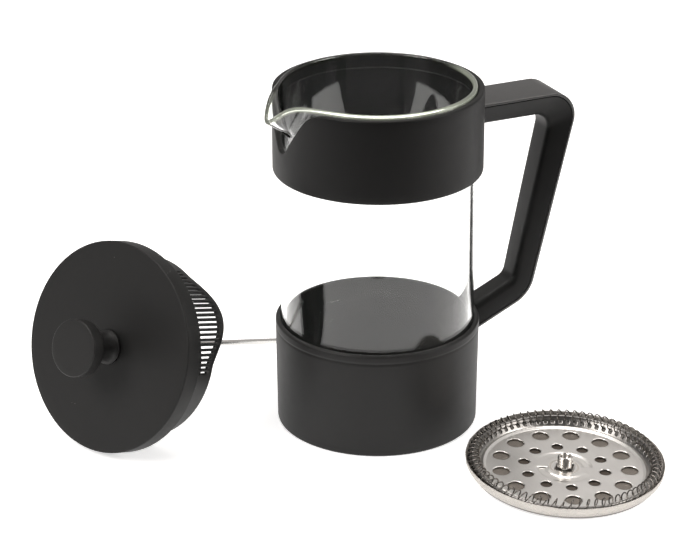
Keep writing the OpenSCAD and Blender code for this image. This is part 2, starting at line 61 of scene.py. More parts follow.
# Handle
HANDLE_REACH, ARM_Z, ARM_T, GRIP_T, LOW_T = 107.0, 163.0, 12.6, 10.8, 12.0
KNEE_REACH, KNEE_Z, ARM_LOW_Z = 83.35, 53.8, 39.4
HANDLE_W, HANDLE_W_LOW, HANDLE_W_IN = 26.0, 17.0, 14.2
BEND_R, KNEE_R, BEND_IN_R, KNEE_IN_R, STRIP_T = 13.5, 17.0, 7.0, 6.0, 1.6
HANDLE_ROOT, HANDLE_SUNK, CORNER_STEPS = 40.0, 0.25, 14

# Lid and strainer
LID_R, LID_H, LID_T, LID_WALL, LID_EDGE_R = 52.4, 9.5, 2.4, 2.2, 0.7
SKIRT_R, SKIRT_T, SKIRT_Z, DECK_T = 45.4, 1.6, -27.5, 1.6
TONGUE_L, TONGUE_ANGLE = 9.3, 32.0
SLOTS, SLOT_W, SLOT_PITCH, SLOT_DROP, SLOT_ARCH, SLOT_BORDER = 23, 1.15, 3.19, 7.3, 2.4, 3.6

# Plunger
ROD_R, ROD_L, ROD_GRIP, ROD_GAP, BUSH_R = 1.5, 166.0, 16.0, 0.05, 4.0
KNOB_R, KNOB_H, KNOB_HEAD_T, NECK_R, FLANGE_R = 14.15, 25.0, 8.5, 5.8, 8.6
THREAD_L, THREAD_PITCH, THREAD_DEPTH = 11.0, 0.7, 0.32

# Filter
CROSS_R, CROSS_T, HUB_FOOT_H, HUB_FOOT_R = 45.3, 0.8, 2.3, 4.5
HUB_R, HUB_H, HUB_BORE_R = 3.65, 7.6, 1.25
GAUZE_T, GAUZE_R, GAUZE_H = 0.35, 48.7, 6.2
PLATE_T, PLATE_FLOOR_R, PLATE_R, PLATE_H, BEAD_H = 0.5, 39.8, 45.3, 4.1, 0.7
SMALL_HOLES, SMALL_HOLE_R, SMALL_RING_R = 10, 2.9, 20.0
LARGE_HOLES, LARGE_HOLE_R, LARGE_RING_R, LARGE_TURN = 13, 4.2, 31.8, 9.0
RAMP_START, RAMP_SPAN, RAMP_DEPTH, FLOOR_START = 192.0, 150, 0.75, 6.0
HUB_WINDOW = 8.4
COIL_R, COIL_CENTRE_R, COIL_RISE, COIL_TURNS, WIRE_R = 3.1, 44.6, 0.9, 72, 0.34

# Where the pieces lie
LID_PLACE, LID_HEADING, LID_SPIN = (-135.0, 26.0), 25.0, -56.5
FILTER_PLACE, LEAN_HEADING, PLATE_SPIN = (51.785, -101.896), -75.5, -37.5

chance = np.random.default_rng(7)


# ---------------------------------------------------------------- placing

def turned(axis, degrees):
    """Rotation matrix about one axis, by an angle in degrees."""
    c, s = math.cos(math.radians(degrees)), math.sin(math.radians(degrees))
    if axis == "y":
        return np.array([[c, 0, s], [0, 1, 0], [-s, 0, c]])
    return np.array([[c, -s, 0], [s, c, 0], [0, 0, 1]])


class Place:
    """A turn followed by a shift, for pieces that are drawn upright and then laid down."""

    def __init__(self, turn, shift):
        self.turn, self.shift = turn, np.array(shift, float)

    def __call__(self, points):
        return points @ self.turn.T + self.shift


def lid_place():
    """The lid rests on the edge of its side wall and on the tip of the rod."""
    dip = math.atan2(LID_R - ROD_R, ROD_L - LID_H)
    height = LID_H * math.sin(dip) + LID_R * math.cos(dip)
    turn = turned("z", LID_HEADING) @ turned("y", math.degrees(dip) - 90) @ turned("z", LID_SPIN)
    return Place(turn, (*LID_PLACE, height))


def filter_place():
    """The filter leans on the foot of its hub and on the edge of the cross plate."""
    lean = math.atan2(HUB_FOOT_H, CROSS_R - HUB_FOOT_R)
    turn = (turned("z", LEAN_HEADING) @ turned("y", math.degrees(lean))
            @ turned("z", PLATE_SPIN - LEAN_HEADING))
    return Place(turn, (*FILTER_PLACE, HUB_FOOT_R * math.sin(lean)))


AT_LID = lid_place()
AT_FILTER = filter_place()


# ----------------------------------------------------------------- shapes

def arc(centre, radius, start, end, steps=8):
    """Points of a circle about a centre, from one angle to another, in degrees."""
    a = np.radians(np.linspace(start, end, steps + 1))
    return np.stack([centre[0] + radius * np.cos(a), centre[1] + radius * np.sin(a)], axis=1)


def rounded(corners, steps=5):
    """Outline through corners (x, y, radius): each corner becomes the arc that touches both
    its sides, half a side away at most."""
    at = np.array([c[:2] for c in corners], float)
    outline = []
    for i, radius in enumerate(c[2] for c in corners):
        before, after = at[i - 1] - at[i], at[(i + 1) % len(at)] - at[i]
        long_before, long_after = np.linalg.norm(before), np.linalg.norm(after)
        before, after = before / long_before, after / long_after
        half = math.acos(float(np.clip(before @ after, -1, 1))) / 2
        if radius <= 0 or half > 1.56:
            outline.append(at[i][None])
            continue
        reach = min(radius / math.tan(half), 0.49 * long_before, 0.49 * long_after)
        radius = reach * math.tan(half)
        middle = at[i] + (before + after) / np.linalg.norm(before + after) * radius / math.sin(half)
        first = at[i] + before * reach - middle
        last = at[i] + after * reach - middle
        sweep = math.atan2(first[0] * last[1] - first[1] * last[0], first @ last)
        a = math.atan2(first[1], first[0]) + sweep * np.linspace(0, 1, steps + 1)
        outline.append(middle + radius * np.stack([np.cos(a), np.sin(a)], axis=1))
    return np.concatenate(outline)


def divided(outline, longest, closed=True):
    """The same outline with extra points, so that no side is longer than a length."""
    ends = np.concatenate([outline, outline[:1]]) if closed else outline
    parts = []
    for a, b in zip(ends[:-1], ends[1:]):
        n = max(1, int(math.ceil(np.linalg.norm(b - a) / longest)))
        parts.append(a + (b - a) * np.linspace(0, 1, n, endpoint=False)[:, None])
    if not closed:
        parts.append(ends[-1:])
    return np.concatenate(parts)


def spun(outline, columns=144):
    """Surface of revolution: radius times cosine and sine of the angle, height as it is."""
    a = np.linspace(0, TURN, columns, endpoint=False)
    r, z = outline[:, 0:1], outline[:, 1:2]
    return np.stack([r * np.cos(a), r * np.sin(a), z + 0 * a], axis=-1)


def cells(points, around=False, along=False, kept=None):
    """Quads over a grid of points. around joins the last column to the first, along joins the
    last row to the first, and kept is a mask of the cells that stay."""
    index = np.arange(points.shape[0] * points.shape[1]).reshape(points.shape[:2])
    if around:
        index = np.concatenate([index, index[:, :1]], axis=1)
    if along:
        index = np.concatenate([index, index[:1]], axis=0)
    quads = np.stack([index[:-1, :-1], index[:-1, 1:], index[1:, 1:], index[1:, :-1]], axis=-1)
    quads = quads.reshape(-1, 4) if kept is None else quads[kept]
    return points.reshape(-1, 3), quads


def enclosed(points, quads):
    """Signed volume inside a shell: the sum of the corner products of its triangles."""
    p = points - points.mean(axis=0)
    a, b, c, d = (p[quads[:, k]] for k in range(4))
    return float(np.sum(np.cross(a, b) * c) + np.sum(np.cross(a, c) * d)) / 6


def outward(part):
    """A closed shell with its faces pointing out of it."""
    points, quads = part
    return (points, quads[:, ::-1]) if enclosed(points, quads) < 0 else part


def as_mesh(name, parts, sharp=40, flat_map=None):
    """One mesh from shells, with poles and seams merged. flat_map is a UV pair for each point."""
    counts = np.cumsum([0] + [len(p) for p, _ in parts])
    points = np.concatenate([p for p, _ in parts]) * MM
    quads = np.concatenate([q + n for (_, q), n in zip(parts, counts)])
    mesh = bpy.data.meshes.new(name)
    mesh.from_pydata(points.tolist(), [], quads.tolist())
    if flat_map is not None:
        uv = mesh.uv_layers.new(name="surface_map")
        corner = np.zeros(len(mesh.loops), np.int32)
        mesh.loops.foreach_get("vertex_index", corner)
        uv.data.foreach_set("uv", flat_map.reshape(-1, 2)[corner].astype(np.float32).ravel())
    shell = bmesh.new()
    shell.from_mesh(mesh)
    bmesh.ops.remove_doubles(shell, verts=shell.verts, dist=1e-7)
    bmesh.ops.dissolve_degenerate(shell, edges=shell.edges, dist=1e-8)
    shell.to_mesh(mesh)
    shell.free()
    mesh.shade_smooth()
    mesh.set_sharp_from_angle(angle=math.radians(sharp))
    return mesh


def piece(name, mesh, finish, body, slot, *nodes):
    """Puts a mesh in the scene: it rides on a body and stands for one or more nodes."""
    shown = bpy.data.objects.new(name, mesh)
    bpy.context.scene.collection.objects.link(shown)
    mesh.materials.append(finish)
    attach(shown, body)
    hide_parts(*nodes)
    return shown


def thickened(shown, thickness, towards):
    """Gives an open sheet its wall, towards its front (1) or its back (-1)."""
    wall = shown.modifiers.new("wall", "SOLIDIFY")
    wall.thickness = thickness * MM
    wall.offset = towards
    wall.use_even_offset = True


def smooth_step(x):
    """0 below 0, 1 above 1, and a smooth S between them."""
    x = np.clip(x, 0, 1)
    return x * x * (3 - 2 * x)


# -------------------------------------------------------------- materials

class Value:
    """A number or colour that changes over a surface. Arithmetic on it adds Math nodes."""

    def __init__(self, finish, socket):
        self.finish, self.socket = finish, socket

    def math(self, operation, *others):
        return self.finish.node("ShaderNodeMath", {"operation": operation},
                                dict(enumerate([self, *others])))

    def _after(self, operation, other):
        return self.finish.node("ShaderNodeMath", {"operation": operation}, {0: other, 1: self})

    def __add__(self, other):
        return self.math("ADD", other)

    __radd__ = __add__

    def __mul__(self, other):
        return self.math("MULTIPLY", other)

    __rmul__ = __mul__

    def __sub__(self, other):
        return self.math("SUBTRACT", other)

    def __rsub__(self, other):
        return self._after("SUBTRACT", other)

    def __truediv__(self, other):
        return self.math("DIVIDE", other)

    def between(self, low, high):
        """0 where the value is at low and 1 where it is at high, smooth between them."""
        return self.finish.node("ShaderNodeMapRange", {"interpolation_type": "SMOOTHSTEP"},
                                {"Value": self, "From Min": low, "From Max": high})


class Finish:
    """A material under construction: one shader and the patterns that feed it."""

    def __init__(self, name):
        self.material = bpy.data.materials.new(name)
        self.material.use_nodes = True
        self.tree = self.material.node_tree
        self.tree.nodes.clear()

    def node(self, kind, settings=None, inputs=None, output=0):
        """Adds a node: its settings first, then the values or links of its sockets."""
        made = self.tree.nodes.new(kind)
        for key, value in (settings or {}).items():
            setattr(made, key, value)
        for key, value in (inputs or {}).items():
            if isinstance(value, Value):
                self.tree.links.new(value.socket, made.inputs[key])
            else:
                made.inputs[key].default_value = value
        return Value(self, made.outputs[output]) if made.outputs else None

    def place(self):
        return self.node("ShaderNodeTexCoord", output="Object")

    def mapped(self, scale):
        """The place on the piece, stretched for a pattern."""
        return self.node("ShaderNodeMapping", {"vector_type": "TEXTURE"},
                         {"Vector": self.place(), "Scale": scale})

    def parts(self, vector):
        """The three numbers of a vector."""
        made = self.node("ShaderNodeSeparateXYZ", {}, {0: vector})
        return [Value(self, made.socket.node.outputs[k]) for k in range(3)]

    def noise(self, size, detail=2.0, rough=0.5, vector=None):
        """Cloudy noise with patches of about a size in millimetres."""
        return self.node("ShaderNodeTexNoise", {"noise_dimensions": "3D"},
                         {"Vector": vector or self.place(), "Scale": 1 / (size * MM),
                          "Detail": detail, "Roughness": rough})

    def dots(self, size):
        """Distance to the nearest of scattered points about a size apart, in millimetres."""
        return self.node("ShaderNodeTexVoronoi", {"feature": "F1"},
                         {"Vector": self.place(), "Scale": 1 / (size * MM)}, "Distance")

    def blend(self, share, low, high):
        """Colour from low to high by a share."""
        return self.node("ShaderNodeMix", {"data_type": "RGBA"}, {0: share, 6: low, 7: high}, 2)

    def bump(self, height, depth):
        """Relief of a depth in millimetres from a height of 0 to 1."""
        return self.node("ShaderNodeBump", {}, {"Height": height, "Strength": 1.0,
                                                "Distance": depth * MM})

    def shader(self, **sockets):
        """The main shader. Socket names are written with _ for spaces."""
        return self.node("ShaderNodeBsdfPrincipled", {},
                         {key.replace("_", " "): value for key, value in sockets.items()})

    def done(self, shader):
        self.node("ShaderNodeOutputMaterial", {}, {"Surface": shader})
        return self.material


def grey(level, warm=0.0):
    """A grey in linear light, a little redder than blue by warm."""
    return (level * (1 + warm), level, level * (1 - warm), 1)


def moulded(name, level, roughness, specular, grain=0.5, relief=0.012, warm=0.03, specks=0.0):
    """Black moulded plastic with a spark-eroded texture: fine grain in the relief, faint cloudy
    patches in colour and gloss, and a few pale specks of dust."""
    f = Finish(name)
    fine = f.noise(grain, 3.0, 0.6)
    cloud = f.noise(22.0, 3.0, 0.55)
    streak = f.noise(5.0, 2.0, 0.5)
    shade = f.blend(cloud * 0.6 + fine * 0.4, grey(level * 0.78, warm), grey(level * 1.25, warm))
    if specks:
        speck = 1 - f.dots(6.0).between(0.02, 0.045)
        chosen = f.noise(9.0, 0.0).between(0.56, 0.6)
        shade = f.blend(speck * chosen * specks, shade, grey(0.16, warm))
    return f.done(f.shader(
        Base_Color=shade, Roughness=roughness - 0.05 + cloud * 0.06 + streak * 0.06,
        Normal=f.bump(fine, relief), Specular_IOR_Level=specular))


def metal(name, colour, low, high, brushed=(1, 1, 1), size=1.6, relief=0.004):
    """Bright metal: fine drawn lines from noise stretched one way, and smudges in the gloss."""
    f = Finish(name)
    lines = f.noise(size, 3.0, 0.65, f.mapped(brushed))
    smudge = f.noise(14.0, 3.0, 0.6)
    dark = tuple(c * 0.84 for c in colour[:3]) + (1,)
    return f.done(f.shader(
        Base_Color=f.blend(lines * 0.5 + smudge * 0.5, dark, colour), Metallic=1.0,
        Roughness=low + (high - low) * (lines * 0.5 + smudge * 0.5),
        Normal=f.bump(lines, relief)))


def blown_glass(name):
    """Clear borosilicate glass: a pale green cast in the fire-polished rim, emission painted into
    the rim's edge on one side of the jug as light gathered in the glass, faint waviness of the
    drawn tube, and shadows that let the light through."""
    f = Finish(name)
    from_rim = f.parts(f.node("ShaderNodeUVMap", {"uv_map": "surface_map"}))[1]
    rim = 1 - from_rim.between(0.4 * MM, 2.6 * MM)
    # Painted light: emission in the rim's edge, on one side of the jug only, stands in for light
    # gathered in the glass.
    edge = 1 - from_rim.between(0.2 * MM, 1.5 * MM)
    painted_glow_side = (f.parts(f.place())[1] / (BEAKER_R * MM)).between(0.35, -0.1)
    painted_rim_glow = f.blend(edge * painted_glow_side, (0, 0, 0, 1), (0.17, 0.18, 0.145, 1))
    wave = f.noise(60.0, 1.0, 0.4, f.mapped((1, 1, 4)))
    tint = f.blend(rim, (0.985, 0.992, 0.988, 1), (0.88, 0.905, 0.82, 1))
    clear = f.shader(Base_Color=tint, Roughness=rim * 0.02, IOR=1.47,
                     Transmission_Weight=1.0, Normal=f.bump(wave, 0.05),
                     Emission_Color=painted_rim_glow, Emission_Strength=1.0)
    shade = f.node("ShaderNodeBsdfTransparent", {}, {"Color": (0.93, 0.95, 0.94, 1)})
    is_shadow = f.node("ShaderNodeLightPath", output="Is Shadow Ray")
    return f.done(f.node("ShaderNodeMixShader", {}, {0: is_shadow, 1: clear, 2: shade}))


def woven(name, edge, floor, painted_well_shade, dark, pitch):
    """Fine wire cloth on the piece's own map: over-and-under wires from two sine waves, each
    raised where the other is low, with open corners between them painted dark as the shade seen
    through the cloth. The turned-up edge is pale; the floor, which the plate covers, is painted
    darker as shade under the plate, darkest under the middle of the plate."""
    f = Finish(name)
    u, v, _ = f.parts(f.node("ShaderNodeUVMap", {"uv_map": "surface_map"}))
    across = (u * (math.pi / (pitch * MM))).math("SINE")
    down = (v * (math.pi / (pitch * MM))).math("SINE")
    weave = across * down * 0.5 + 0.5
    # Painted shade: the open corners between the wires are painted dark, as shade seen through the
    # cloth.
    painted_gap_shade = (across * across).math("MAXIMUM", down * down).between(0.25, 0.7)
    smudge = f.noise(11.0, 3.0, 0.6)
    radius = (u * u + v * v).math("SQRT") / MM
    # Painted shade: the floor under the plate is painted darker than the pale turned-up edge, and
    # darkest under the middle of the plate.
    wire = f.blend(radius.between(22.5, 27.0), painted_well_shade, floor)
    wire = f.blend(radius.between(CROSS_R - 1.0, CROSS_R + 0.4), wire, edge)
    shade = f.blend(painted_gap_shade * (smudge * 0.3 + 0.7), dark, wire)
    return f.done(f.shader(Base_Color=shade, Metallic=0.8, Roughness=0.44 + smudge * 0.2,
                           Normal=f.bump(weave, 0.06)))


def plate_finish(name):
    """Polished pressed steel: circular lines about the hub, cloudy roll marks, a dull ring
    that the hub has worn, and a pressed wall painted slightly darker as shade under the coil."""
    f = Finish(name)
    x, y, _ = f.parts(f.place())
    dx, dy = x - FILTER_PLACE[0] * MM, y - FILTER_PLACE[1] * MM
    radius = (dx * dx + dy * dy).math("SQRT") / MM
    worn = 1 - ((radius - 6.9).math("ABSOLUTE")).between(0.2, 0.9)
    lines = f.noise(1.4, 3.0, 0.65, f.mapped((1, 14, 1)))
    cloud = f.noise(12.0, 4.0, 0.6)
    scuffs = f.noise(3.0, 4.0, 0.7).between(0.62, 0.75)
    shade = f.blend(lines * 0.4 + cloud * 0.6, (0.78, 0.755, 0.725, 1), (0.93, 0.91, 0.88, 1))
    shade = f.blend(worn * 0.45, shade, (0.36, 0.31, 0.25, 1))
    # Painted shade: the pressed wall under the coil is painted darker than the floor.
    wall = radius.between(PLATE_FLOOR_R + 0.9, PLATE_FLOOR_R + 1.8)
    shade = f.blend(wall, shade, (0.27, 0.26, 0.25, 1))
    return f.done(f.shader(
        Base_Color=shade, Metallic=1.0,
        Roughness=0.27 + cloud * 0.1 + scuffs * 0.08 + worn * 0.15,
        Normal=f.bump(lines + cloud * 0.6, 0.006)))


CUP_BLACK = moulded("cup_plastic", 0.0048, 0.50, 0.33, grain=0.45)
BAND_BLACK = moulded("band_plastic", 0.0028, 0.52, 0.27, grain=0.45)
HANDLE_BLACK = moulded("handle_plastic", 0.0025, 0.44, 0.27, grain=0.6, relief=0.008)
STRIP_BLACK = moulded("handle_cover_plastic", 0.0090, 0.38, 1.0, grain=0.6, relief=0.008)
LID_BLACK = moulded("lid_plastic", 0.0042, 0.54, 0.34, grain=0.5, specks=0.8)
STRAINER_BLACK = moulded("strainer_plastic", 0.0045, 0.40, 0.42, grain=0.7, relief=0.006)
BUSH_BLACK = moulded("bush_plastic", 0.02, 0.36, 0.45, grain=0.8, relief=0.004)
KNOB_BLACK = moulded("knob_plastic", 0.0060, 0.5, 0.36, grain=0.45, specks=0.4)
ROD_STEEL = metal("rod_steel_drawn", (0.74, 0.73, 0.71, 1), 0.14, 0.28, (9, 3.5, 3), 0.9)
HUB_STEEL = metal("hub_steel_turned", (0.66, 0.64, 0.61, 1), 0.22, 0.34, (6, 6, 1), 0.5)
# Painted shade: the cross plate's steel is painted dark, standing in for the black shadow line
# under the front of the filter's rim.
CROSS_STEEL_PAINTED_SHADE = metal("cross_steel_painted_shade", (0.24, 0.23, 0.22, 1), 0.25, 0.4, (1, 9, 1))
COIL_STEEL = metal("coil_wire_steel", (0.20, 0.185, 0.17, 1), 0.22, 0.32, size=1.0, relief=0.002)
SCREW_STEEL = metal("screw_steel_plated", (0.62, 0.61, 0.6, 1), 0.25, 0.4, (1, 4, 4), 0.6)
INSERT_BRASS = metal("insert_brass_knurled", (0.66, 0.5, 0.24, 1), 0.3, 0.45, (5, 1, 1), 0.5)
PLATE_STEEL = plate_finish("plate_steel_polished")
# Colours: pale turned-up edge; floor painted darker as shade under the plate; painted shade under
# the middle of the plate; painted shade in the open corners of the weave.
GAUZE_STEEL = woven("gauze_wire_cloth", (0.74, 0.71, 0.67, 1), (0.27, 0.24, 0.21, 1),
                    (0.09, 0.07, 0.055, 1), (0.10, 0.09, 0.08, 1), 0.42)
GLASS = blown_glass("beaker_glass")


# --------------------------------------------------------------- jug frame

def base_cup_moulding():
    """Cup of revolution: foot ring, slightly tapering wall, rounded lip and flat seat."""
    foot_r = CUP_R - CUP_TAPER
    outline = rounded([
        (0, FOOT_H, 0), (foot_r - FOOT_W - 1, FOOT_H, 0.4), (foot_r - FOOT_W, 0, 0.4),
        (foot_r, 0, 1.6), (CUP_R - 0.05, CUP_H - 5.4, 4), (CUP_R - 0.3, CUP_H - 4.4, 1.2),
        (CUP_R, CUP_H - 3.4, 1.2), (CUP_R, CUP_H, CUP_LIP_R), (CUP_IN_R, CUP_H, 0.35),
        (CUP_IN_R, SEAT_Z, 0.8), (0, SEAT_Z, 0)], 7)
    outline = divided(outline, 9.0, closed=False)
    return as_mesh("base_cup_moulding", [outward(cells(spun(outline, 192), around=True))])


def notch_height(side):
    """Height of the band's upper edge at a distance sideways from the spout: a round foot,
    straight flanks, and round shoulders up to the level edge."""
    lean, rise = math.radians(NOTCH_ANGLE), math.radians(90 - NOTCH_ANGLE)
    foot_z = BAND_TOP - NOTCH_DEPTH
    foot_side = NOTCH_R * math.cos(lean)
    flank_z = foot_z + NOTCH_R - NOTCH_R * math.sin(lean)
    slope = 1 / math.tan(lean)
    corner = foot_side + (BAND_TOP - flank_z) / slope
    reach = NOTCH_SHOULDER_R * math.tan(rise / 2)
    side = np.abs(side)
    foot = foot_z + NOTCH_R - np.sqrt(np.maximum(NOTCH_R ** 2 - side ** 2, 0))
    flank = flank_z + slope * (side - foot_side)
    over = np.minimum(side - corner - reach, 0)
    shoulder = (BAND_TOP - NOTCH_SHOULDER_R
                + np.sqrt(np.maximum(NOTCH_SHOULDER_R ** 2 - over ** 2, 0)))
    height = np.where(side < foot_side, foot, flank)
    height = np.where(side > corner - reach * math.cos(rise), shoulder, height)
    return np.where(side > corner + reach, BAND_TOP, height)


def upper_band_moulding():
    """Ring whose section is closed. At each angle the section's upper edge follows the notch
    under the spout, and the ledge inside stays level or goes with the notch."""
    level = np.linspace(0, TURN, 160, endpoint=False)
    fine = math.pi + np.linspace(-0.68, 0.68, 164)
    angle = np.unique(np.round(np.concatenate([level[np.abs(level - math.pi) > 0.685], fine]), 6))
    top = np.where(np.cos(angle) < 0, notch_height(BAND_R * np.sin(angle)), BAND_TOP)
    outline = rounded([
        (BAND_IN_R, BAND_Z, 0.5), (BAND_R, BAND_Z, 1.3), (BAND_R, BAND_TOP, BAND_EDGE_R),
        (BAND_IN_R + LEDGE_W, BAND_TOP, 0.35), (BAND_IN_R + LEDGE_W, BAND_TOP - LEDGE_DEPTH, 0.1),
        (BAND_IN_R, BAND_TOP - LEDGE_DEPTH - LEDGE_W, 0.1)], 5)
    outline = divided(outline, 4.0)
    r, z = outline[:, 0:1], outline[:, 1:2]
    fixed = 1.6
    drop = BAND_TOP - top
    reach = np.clip((z - BAND_Z - fixed) / (BAND_TOP - fixed - BAND_Z - fixed), 0, 1)
    height = z - drop * reach
    points = np.stack([r * np.cos(angle), r * np.sin(angle), height], axis=-1)
    return as_mesh("upper_band_moulding", [outward(cells(points, around=True, along=True))])


def direction(a, b):
    """Unit vector from a to b."""
    d = np.array(b, float) - np.array(a, float)
    return d / np.linalg.norm(d)


def bent(ends, radii, steps):
    """Path along straight runs with an arc at each corner, divided the same way whatever the
    radii are."""
    path, at = [], ends[0]
    for k, radius in enumerate(radii):
        before, after = direction(ends[k + 1], ends[k]), direction(ends[k + 1], ends[k + 2])
        half = math.acos(float(before @ after)) / 2
        first, last = (ends[k + 1] + way * radius / math.tan(half) for way in (before, after))
        path.append(at + (first - at) * np.linspace(0, 1, steps[k], endpoint=False)[:, None])
        middle = ends[k + 1] + direction((0, 0), before + after) * radius / math.sin(half)
        a = np.linspace(0, math.pi - 2 * half, CORNER_STEPS + 1)[:, None]
        path.append(middle + (first - middle) * np.cos(a) - before * radius * np.sin(a))
        at = last
    path.append(at + (ends[-1] - at) * np.linspace(0, 1, steps[-1] + 1)[1:, None])
    return np.concatenate(path)


def handle_stations():
    """Stations along the handle, from the band to the cup: a point of the outer face, the unit
    vector out of it, thickness and width. Outer and inner face are bent paths of their own."""
    ends = [np.array(p) for p in ((HANDLE_ROOT, ARM_Z), (HANDLE_REACH, ARM_Z),
                                  (KNEE_REACH, KNEE_Z), (CUP_R, ARM_LOW_Z))]
    runs = [direction(a, b) for a, b in zip(ends, ends[1:])]
    ends[3] = ends[3] + runs[2] * (CUP_R - HANDLE_ROOT) / abs(runs[2][0])
    inwards = [np.array([d[1], -d[0]]) * t for d, t in zip(runs, (ARM_T, GRIP_T, LOW_T))]
    inner = [ends[0] + inwards[0]]
    for k in (0, 1):
        ways = np.stack([runs[k], -runs[k + 1]], axis=1)
        along = np.linalg.solve(ways, inwards[k + 1] - inwards[k])
        inner.append(ends[k + 1] + inwards[k] + runs[k] * along[0])
    inner.append(ends[3] + inwards[2])
    steps = (10, 18, 8)
    outer = bent(ends, (BEND_R, KNEE_R), steps)
    inner = bent(inner, (BEND_IN_R, KNEE_IN_R), steps)
    wall = outer - inner
    thick = np.linalg.norm(wall, axis=1, keepdims=True)
    share = np.clip((outer[:, 1:2] - KNEE_Z) / (ARM_Z - BEND_R - KNEE_Z), 0, 1)
    width = HANDLE_W_LOW + (HANDLE_W - HANDLE_W_LOW) * share
    return np.concatenate([outer, wall / thick, thick, width], axis=1)


def handle_sweep(section):
    """Carries a section along the handle. section(t, w) gives depth below the outer face and
    side. What would lie inside the band or the cup is drawn back to just under its surface."""
    rings = []
    for x, z, nx, nz, t, w in handle_stations():
        depth, side = section(t, w).T
        rings.append(np.stack([x - nx * depth, side, z - nz * depth], axis=1))
    points = np.stack(rings)
    cup_wall = CUP_R - CUP_TAPER * (1 - np.clip(points[..., 2] / CUP_H, 0, 1))
    wall = np.where(points[..., 2] > CUP_H * 2, BAND_R, cup_wall) - HANDLE_SUNK
    nearest = np.sqrt(np.maximum(wall ** 2 - points[..., 1] ** 2, 0))
    points[..., 0] = np.maximum(points[..., 0], nearest)
    ends = [points[k].mean(axis=0) + 0 * points[k] for k in (0, -1)]
    points = np.concatenate([ends[0][None], points, ends[1][None]])
    return outward(cells(points, around=True))


def body_section(t, w):
    """Trapezium that narrows inwards, with round inner corners and slightly full sides. A
    shallow step under the cover strip leaves a shadow line."""
    outer, inner = w / 2 - 0.2, HANDLE_W_IN / 2
    return rounded([(STRIP_T + 0.02, 0.6 - outer, 0.1), (STRIP_T + 0.02, outer - 0.6, 0.1),
                    (STRIP_T + 0.25, outer - 0.5, 0.1), (STRIP_T + 0.4, outer, 0.2),
                    (t, inner, 3.6), (t, -inner, 3.6),
                    (STRIP_T + 0.4, -outer, 0.2), (STRIP_T + 0.25, 0.5 - outer, 0.1)], 6)


def strip_section(_, w):
    """Flat strip with round outer edges, the same whatever the handle's thickness."""
    half = w / 2
    return rounded([(STRIP_T, half - 0.4, 0.15), (STRIP_T - 0.3, half, 0.3),
                    (0, half - 0.1, 0.8), (0, 0.1 - half, 0.8),
                    (STRIP_T - 0.3, -half, 0.3), (STRIP_T, 0.4 - half, 0.15)], 5)


# ------------------------------------------------------------------ beaker

def spout_lift(angle, depth):
    """How far the glass is drawn out and down at an angle from the spout and a depth below the
    rim. Across the spout both are bell curves, exp(-(angle / width) ** power), so that the lip
    leaves the rim circle without a corner. Downwards the channel narrows and runs out."""
    share = np.clip(depth / SPOUT_ROOT, 0, 1)
    turn = np.degrees(np.abs(angle))
    width = SPOUT_WIDE * (1 - 0.85 * share)
    out = SPOUT_OUT * np.exp(-(turn / width) ** 1.53) * (1 - share) ** 1.25
    down = SPOUT_DROP * np.exp(-(turn / LIP_WIDE) ** 1.76) * (1 - share)
    return out, down


def beaker_glass():
    """Sheet of even thickness: a middle surface from the floor's centre up to the rim, drawn
    out at the spout, is offset to both sides along its own normal and closed by a half circle
    over the rim."""
    level = np.linspace(-math.pi, math.pi, 150, endpoint=False)
    fine = np.linspace(-0.6, 0.6, 141)
    angle = np.unique(np.round(np.concatenate([level[np.abs(level) > 0.605], fine]), 6))
    half_wall = BEAKER_WALL / 2
    middle_r = BEAKER_R - half_wall
    foot = arc((BEAKER_R - BEAKER_FOOT_R, SEAT_Z + BEAKER_FOOT_R), BEAKER_FOOT_R - half_wall,
               -90, 0, 10)
    floor = np.array([[r, SEAT_Z + half_wall] for r in (0.0, 12, 26)])
    wall_z = np.concatenate([np.linspace(20, RIM_Z - SPOUT_ROOT - 8, 12),
                             np.linspace(RIM_Z - SPOUT_ROOT - 3, RIM_Z - half_wall, 46)])
    wall = np.stack([np.full_like(wall_z, middle_r), wall_z], axis=1)
    line = np.concatenate([floor, foot, wall])
    depth = (RIM_Z - half_wall - line[:, 1])[:, None]
    out, down = spout_lift(angle[None, :], depth)
    r = line[:, 0:1] + out
    a = angle + math.pi
    middle = np.stack([r * np.cos(a), r * np.sin(a), line[:, 1:2] - down + 0 * a], axis=-1)
    wrapped = np.concatenate([middle[:, -1:], middle, middle[:, :1]], axis=1)
    across = (wrapped[:, 2:] - wrapped[:, :-2])
    upward = np.gradient(middle, axis=0)
    normal = np.cross(across, upward)
    normal[0] = (0, 0, -1)
    normal = normal / np.maximum(np.linalg.norm(normal, axis=-1, keepdims=True), 1e-9)
    up = upward[-1] / np.linalg.norm(upward[-1], axis=-1, keepdims=True)
    turn = np.radians(np.linspace(0, 180, 9))[1:-1, None, None]
    rim = middle[-1] + half_wall * (normal[-1] * np.cos(turn) + up * np.sin(turn))
    points = np.concatenate([middle + half_wall * normal, rim, (middle - half_wall * normal)[::-1]])
    from_rim = np.concatenate([depth, np.full((len(rim), 1), 0.0), depth[::-1]]) + 0 * a
    flat = np.stack([a / TURN + 0 * from_rim, from_rim * MM], axis=-1)
    return as_mesh("beaker_glass", [outward(cells(points, around=True))], sharp=60, flat_map=flat)


# --------------------------------------------------------------- lid group

def lid_cover_moulding():
    """Shallow cap of revolution with a crisp face edge, a side wall and a hole for the bush."""
    outline = rounded([
        (BUSH_R, 0, 0.2), (LID_R, 0, LID_EDGE_R), (LID_R, -LID_H, 0.5),
        (LID_R - LID_WALL, -LID_H, 0.5), (LID_R - LID_WALL, -LID_T, 1.2), (BUSH_R, -LID_T, 0.2)], 6)
    outline = divided(outline, 6.0)
    points = AT_LID(spun(outline, 192))
    return as_mesh("lid_cover_moulding", [outward(cells(points, around=True, along=True))])


